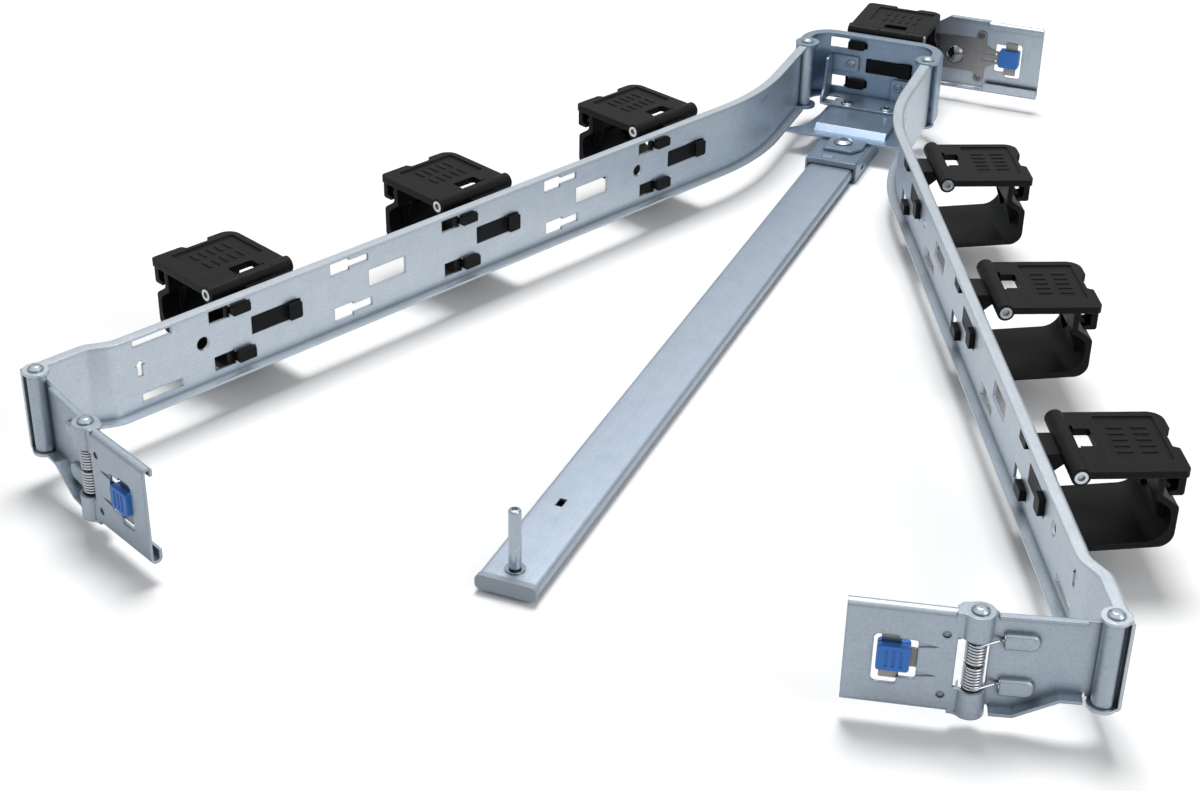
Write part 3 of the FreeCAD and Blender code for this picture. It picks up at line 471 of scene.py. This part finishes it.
# A point in the frame of a hinged part: a place and the two flat directions there
def placeIn(spot, x, y, z):
    place, ahead, out = spot
    point = place + ahead * x + out * y
    return (point.x, point.y, z)


# The rail: a rounded hollow section swept from end to end, its slot and the pin's hole cut through the top
railValues = {
    "Half Width": 9.9 * mm,
    "Height": 4.8 * mm,
    "Corner": 1.8 * mm,
    "Wall": 0.9 * mm,
    "Slot Width": 2.4 * mm,
    "Slot Length": 4.5 * mm,
    "Pin Hole": 1.45 * mm,
}
railCuts = {
    "slotAside": -1.8,  # from the rail's middle
    "slotBehind": 39.25,  # from the pin
    "depth": 3.0,
}


def railTree():
    tree, given, result = newTree("sweptRail", railValues, materials["rail"])

    def sweep(width, height, corner, reach):
        section = addNode(tree, "GeometryNodeCurvePrimitiveQuadrilateral")
        feed(tree, section.inputs["Width"], width)
        feed(tree, section.inputs["Height"], height)
        rounded = addNode(tree, "GeometryNodeFilletCurve", mode="POLY")
        tree.links.new(section.outputs[0], rounded.inputs["Curve"])
        feed(tree, rounded.inputs["Radius"], corner)
        rounded.inputs["Count"].default_value = 7
        path = addNode(tree, "GeometryNodeMeshToCurve")
        tree.links.new(reach, path.inputs[0])
        tube = addNode(tree, "GeometryNodeCurveToMesh")
        tube.inputs["Fill Caps"].default_value = True
        tree.links.new(path.outputs[0], tube.inputs["Curve"])
        tree.links.new(rounded.outputs[0], tube.inputs["Profile Curve"])
        return tube.outputs[0]

    base = given["Geometry"]
    pick = addNode(tree, "GeometryNodeSeparateGeometry", domain="POINT")
    part = addNode(tree, "GeometryNodeInputNamedAttribute", data_type="FLOAT")
    part.inputs["Name"].default_value = "mark"
    tree.links.new(base, pick.inputs["Geometry"])
    tree.links.new(maths(tree, "GREATER_THAN", part.outputs[0], 0.5), pick.inputs["Selection"])
    width = maths(tree, "MULTIPLY", given["Half Width"], 2.0)
    twoWalls = maths(tree, "MULTIPLY", given["Wall"], 2.0)
    outer = sweep(width, given["Height"], given["Corner"], pick.outputs["Inverted"])
    innerWidth = maths(tree, "SUBTRACT", width, twoWalls)
    innerHeight = maths(tree, "SUBTRACT", given["Height"], twoWalls)
    innerCorner = maths(tree, "SUBTRACT", given["Corner"], given["Wall"])
    inner = sweep(innerWidth, innerHeight, innerCorner, pick.outputs["Selection"])
    return tree, given, result, outer, inner


def addRail():
    tree, given, result, outer, inner = railTree()
    low, high = (Vector(corner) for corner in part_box("support_rail"))
    middle = (low + high) / 2
    pinLow, pinHigh = (Vector(corner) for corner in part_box("rail_snap_ring"))
    holes = addNode(tree, "GeometryNodeJoinGeometry")
    slot = addNode(tree, "GeometryNodeMeshCube")
    join = addNode(tree, "ShaderNodeCombineXYZ")
    tree.links.new(given["Slot Width"], join.inputs["X"])
    tree.links.new(given["Slot Length"], join.inputs["Y"])
    feed(tree, join.inputs["Z"], railCuts["depth"] * mm)
    tree.links.new(join.outputs[0], slot.inputs["Size"])
    pin = addNode(tree, "GeometryNodeMeshCylinder")
    pin.inputs["Vertices"].default_value = 40
    tree.links.new(given["Pin Hole"], pin.inputs["Radius"])
    feed(tree, pin.inputs["Depth"], railCuts["depth"] * mm)
    ring = (pinLow + pinHigh) / 2
    slotPlace = (middle.x + railCuts["slotAside"] * mm, ring.y + railCuts["slotBehind"] * mm, high.z)
    for solid, place in ((slot, slotPlace), (pin, (ring.x, ring.y, high.z))):
        move = addNode(tree, "GeometryNodeTransform")
        move.inputs["Translation"].default_value = place
        tree.links.new(solid.outputs["Mesh"], move.inputs["Geometry"])
        tree.links.new(move.outputs[0], holes.inputs[0])
    cut = addNode(tree, "GeometryNodeMeshBoolean", operation="DIFFERENCE", solver="EXACT")
    tree.links.new(outer, cut.inputs["Mesh 1"])
    tree.links.new(inner, cut.inputs["Mesh 2"])
    tree.links.new(holes.outputs[0], cut.inputs["Mesh 2"])
    tree.links.new(cut.outputs["Mesh"], result)
    past = 1 * mm  # the hollow runs out of both ends
    runs = [[(middle.x, low.y, middle.z), (middle.x, high.y, middle.z)],
            [(middle.x, low.y - past, middle.z), (middle.x, high.y + past, middle.z)]]
    mesh = grow("sweptRail", tree, runsOfPoints("railPath", runs, (0, 1)), railValues)
    return finished("sweptRail", mesh, "support_rail", "rail")


# Torsion springs: two coils of round wire round each latch pin, each with a leg into the link's pocket
springValues = {
    "Wire": 0.36 * mm,
    "Coil": 2.6 * mm,
    "Pitch": 0.98 * mm,
    "Hand": 1.0,
    "Leg Bend": 1.1 * mm,
    "Step": 0.055 * mm,
}
springs = {
    "coils": ((-18.2, -11.35), (-26.9, -19.05)),
    "legs": (-11.8, -26.4),
    "legRoute": ((0.4, -2.6), (-0.8, -2.45), (-6.7, 1.1), (-14.2, 1.1)),
}


def springTree():
    tree, given, result = newTree("woundSpring", springValues, materials["spring"])
    line = addNode(tree, "GeometryNodeMeshToCurve")
    tree.links.new(given["Geometry"], line.inputs[0])
    bent = addNode(tree, "GeometryNodeFilletCurve", mode="POLY")
    bent.inputs["Count"].default_value = 6
    bent.inputs["Limit Radius"].default_value = True
    tree.links.new(line.outputs[0], bent.inputs["Curve"])
    tree.links.new(given["Leg Bend"], bent.inputs["Radius"])
    fine = addNode(tree, "GeometryNodeResampleCurve", mode="LENGTH")
    tree.links.new(bent.outputs[0], fine.inputs["Curve"])
    tree.links.new(given["Step"], fine.inputs["Length"])
    where = addNode(tree, "GeometryNodeSplineParameter")
    turn = maths(tree, "MULTIPLY", maths(tree, "DIVIDE", where.outputs["Length"], given["Pitch"]), math.tau)
    turn = maths(tree, "MULTIPLY", turn, given["Hand"])
    mark = addNode(tree, "GeometryNodeInputNamedAttribute", data_type="FLOAT")
    mark.inputs["Name"].default_value = "mark"
    reach = maths(tree, "MULTIPLY", mark.outputs[0], given["Coil"])
    offset = addNode(tree, "ShaderNodeCombineXYZ")
    tree.links.new(maths(tree, "MULTIPLY", maths(tree, "COSINE", turn), reach), offset.inputs["X"])
    tree.links.new(maths(tree, "MULTIPLY", maths(tree, "SINE", turn), reach), offset.inputs["Y"])
    wound = addNode(tree, "GeometryNodeSetPosition")
    tree.links.new(fine.outputs[0], wound.inputs["Geometry"])
    tree.links.new(offset.outputs[0], wound.inputs["Offset"])
    section = addNode(tree, "GeometryNodeCurvePrimitiveCircle")
    section.inputs["Resolution"].default_value = 10
    tree.links.new(given["Wire"], section.inputs["Radius"])
    tube = addNode(tree, "GeometryNodeCurveToMesh")
    tube.inputs["Fill Caps"].default_value = True
    tree.links.new(wound.outputs[0], tube.inputs["Curve"])
    tree.links.new(section.outputs[0], tube.inputs["Profile Curve"])
    smooth = addNode(tree, "GeometryNodeSetShadeSmooth")
    tree.links.new(tube.outputs[0], smooth.inputs["Geometry"])
    tree.links.new(smooth.outputs[0], result)
    return tree


def addSprings(tree):
    for side, hand in sides.items():
        pin = Vector(joints["latch_%s_turn" % side]["pos_m"])
        back = Vector(joints["link_%s_turn" % side]["pos_m"])
        ahead = Vector((pin.x - back.x, pin.y - back.y, 0)).normalized()
        spot = (pin, ahead, Vector((-ahead.y, ahead.x, 0)) * hand)
        runs, marks = [], []
        for low, high in springs["coils"]:
            runs.append([(pin.x, pin.y, armTop + low * mm), (pin.x, pin.y, armTop + high * mm)])
            marks.append(1)
        for height in springs["legs"]:
            runs.append([placeIn(spot, x * mm, y * mm, armTop + height * mm) for x, y in springs["legRoute"]])
            marks.append(0)
        label = "woundSprings" + side.capitalize()
        values = dict(springValues, Hand=float(hand))
        mesh = grow(label, tree, runsOfPoints(label + "Path", runs, marks), values)
        finished(label, mesh, "latch_springs_" + side, "spring")


# Generic raised bars on each lid's panel: two rows that stand a little proud of it
barValues = {
    "Rows": 2,
    "Columns": 5,
    "Row Gap": 7.6 * mm,
    "Column Gap": 3.5 * mm,
    "Bar Length": 5.0 * mm,
    "Bar Width": 1.1 * mm,
    "Bar Height": 0.35 * mm,
}
lidPanel = {
    "along": 2.0,
    "across": 20.0,
    "height": -0.85,  # from the top of the arms
}


def barTree():
    tree, given, result = newTree("raisedBars", barValues, materials["black"])
    grid = addNode(tree, "GeometryNodeMeshGrid")
    for axis, count, gap in (("X", "Columns", "Column Gap"), ("Y", "Rows", "Row Gap")):
        lessOne = maths(tree, "SUBTRACT", given[count], 1.0)
        tree.links.new(maths(tree, "MULTIPLY", lessOne, given[gap]), grid.inputs["Size " + axis])
        tree.links.new(given[count], grid.inputs["Vertices " + axis])
    bar = addNode(tree, "GeometryNodeCurvePrimitiveQuadrilateral")
    tree.links.new(given["Bar Width"], bar.inputs["Width"])
    tree.links.new(given["Bar Length"], bar.inputs["Height"])
    rounded = addNode(tree, "GeometryNodeFilletCurve", mode="POLY")
    rounded.inputs["Count"].default_value = 4
    tree.links.new(bar.outputs[0], rounded.inputs["Curve"])
    tree.links.new(maths(tree, "MULTIPLY", given["Bar Width"], 0.45), rounded.inputs["Radius"])
    face = addNode(tree, "GeometryNodeFillCurve")
    tree.links.new(rounded.outputs[0], face.inputs["Curve"])
    raised = addNode(tree, "GeometryNodeExtrudeMesh", mode="FACES")
    tree.links.new(face.outputs[0], raised.inputs["Mesh"])
    tree.links.new(given["Bar Height"], raised.inputs["Offset Scale"])
    raised.inputs["Individual"].default_value = False
    onGrid = addNode(tree, "GeometryNodeInstanceOnPoints")
    tree.links.new(grid.outputs["Mesh"], onGrid.inputs["Points"])
    tree.links.new(raised.outputs["Mesh"], onGrid.inputs["Instance"])
    onBase = addNode(tree, "GeometryNodeInstanceOnPoints")
    tree.links.new(given["Geometry"], onBase.inputs["Points"])
    tree.links.new(onGrid.outputs[0], onBase.inputs["Instance"])
    turn = addNode(tree, "GeometryNodeInputNamedAttribute", data_type="FLOAT")
    turn.inputs["Name"].default_value = "mark"
    euler = addNode(tree, "ShaderNodeCombineXYZ")
    tree.links.new(turn.outputs[0], euler.inputs["Z"])
    tree.links.new(euler.outputs[0], onBase.inputs["Rotation"])
    tree.links.new(onBase.outputs[0], result)
    return tree


def lidFrame(name):
    joint = joints["lid_%s_turn" % name]
    hand = -1 if name.startswith("right") else 1
    ahead = Vector(joint["axis"]) * hand
    return Vector(joint["pos_m"]), ahead, Vector((-ahead.y, ahead.x, 0)) * hand


def addLidBars(tree):
    for name in nodes:
        if not name.startswith("basket_lid_"):
            continue
        short = name[len("basket_lid_"):]
        spot = lidFrame(short)
        height = armTop + lidPanel["height"] * mm
        panel = placeIn(spot, lidPanel["along"] * mm, lidPanel["across"] * mm, height)
        turn = math.atan2(spot[1].y, spot[1].x)
        label = joinedWords("lidBars_" + short)
        mesh = grow(label, tree, runsOfPoints(label + "Spot", [[panel]], (turn,)), barValues)
        addPiece(label, mesh, bodyOf[name], materials["black"])


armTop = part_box("arm_left")[1][2]
grown = ("support_rail", "latch_springs_left", "latch_springs_right")
for name in nodes:
    if name not in grown:
        dressed(name)
print("solids dressed")
addRail()
addSprings(springTree())
addLidBars(barTree())
print("rail, springs and lid bars grown")

# Bench and light: a white floor that keeps the soft shadow, one broad lamp and a fill from the right
bench = {
    "size": 8.0,
    "lamps": {
        "broad": ((-0.15, 0.3, 1.7), 0.75, 20.0),
        "right": ((1.5, -0.5, 0.9), 1.2, 7.0),
    },
    "sky": 0.28,
    "skyShine": (0.16, 1.0),  # what metal sees, from just below the horizon to high up
    "skyHeights": (-0.1, 0.8),
    "paper": (0.84, 0.85, 0.86, 1),
    "paperSeen": (1.12, 1.12, 1.12, 1),
    "whiteFrom": 0.4,
    "whiteBy": 1.2,
}


def addBench():
    mesh = bpy.data.meshes.new("benchTop")
    half = bench["size"] / 2
    corners = [(-half, -half, 0), (half, -half, 0), (half, half, 0), (-half, half, 0)]
    mesh.from_pydata(corners, [], [(0, 1, 2, 3)])
    top = bpy.data.objects.new("benchTop", mesh)
    bpy.context.scene.collection.objects.link(top)
    material = bpy.data.materials.new("benchPaper")
    material.use_nodes = True
    tree = material.node_tree
    tree.nodes.clear()
    paper = addNode(tree, "ShaderNodeBsdfDiffuse")
    glow = addNode(tree, "ShaderNodeEmission")
    path = addNode(tree, "ShaderNodeLightPath")
    tone = mixColours(tree, path.outputs["Is Camera Ray"], bench["paper"], bench["paperSeen"])
    tree.links.new(tone, paper.inputs["Color"])
    # away from the part the paper is plain white
    away = addNode(tree, "ShaderNodeVectorMath", operation="LENGTH")
    tree.links.new(addNode(tree, "ShaderNodeTexCoord").outputs["Object"], away.inputs[0])
    far = spread(tree, away.outputs["Value"], bench["whiteFrom"], bench["whiteBy"])
    tree.links.new(maths(tree, "MULTIPLY", path.outputs["Is Camera Ray"], far), glow.inputs["Strength"])
    both = addNode(tree, "ShaderNodeAddShader")
    tree.links.new(paper.outputs[0], both.inputs[0])
    tree.links.new(glow.outputs[0], both.inputs[1])
    tree.links.new(both.outputs[0], addNode(tree, "ShaderNodeOutputMaterial").inputs["Surface"])
    mesh.materials.append(material)


def addLamps():
    for name, (place, size, power) in bench["lamps"].items():
        data = bpy.data.lights.new(name, "AREA")
        data.shape = "DISK"
        data.size = size
        data.energy = power
        lamp = bpy.data.objects.new(name, data)
        bpy.context.scene.collection.objects.link(lamp)
        aim = (Vector((0, 0, 0)) - Vector(place)).to_track_quat("-Z", "Y").to_matrix().to_4x4()
        lamp.matrix_world = Matrix.Translation(place) @ aim


# White to the camera; metal sees a sky that is bright above and greyer towards the floor
def addSky():
    world = bpy.data.worlds.new("studio")
    bpy.context.scene.world = world
    world.use_nodes = True
    tree = world.node_tree
    tree.nodes.clear()
    path = addNode(tree, "ShaderNodeLightPath")
    plain = addNode(tree, "ShaderNodeBackground")
    plain.inputs["Color"].default_value = (1, 1, 1, 1)
    seen = maths(tree, "MAXIMUM", path.outputs["Is Camera Ray"], path.outputs["Is Transmission Ray"])
    split = addNode(tree, "ShaderNodeSeparateXYZ")
    tree.links.new(addNode(tree, "ShaderNodeTexCoord").outputs["Generated"], split.inputs[0])
    shine = spread(tree, split.outputs["Z"], *bench["skyHeights"], *bench["skyShine"])
    glossy = maths(tree, "MULTIPLY", path.outputs["Is Glossy Ray"], shine)
    level = maths(tree, "MAXIMUM", glossy, bench["sky"])
    tree.links.new(maths(tree, "MAXIMUM", seen, level), plain.inputs["Strength"])
    tree.links.new(plain.outputs[0], addNode(tree, "ShaderNodeOutputWorld").inputs["Surface"])


addBench()
addLamps()
addSky()
bpy.context.scene.view_settings.view_transform = "Standard"
print("bench and lamps ready")
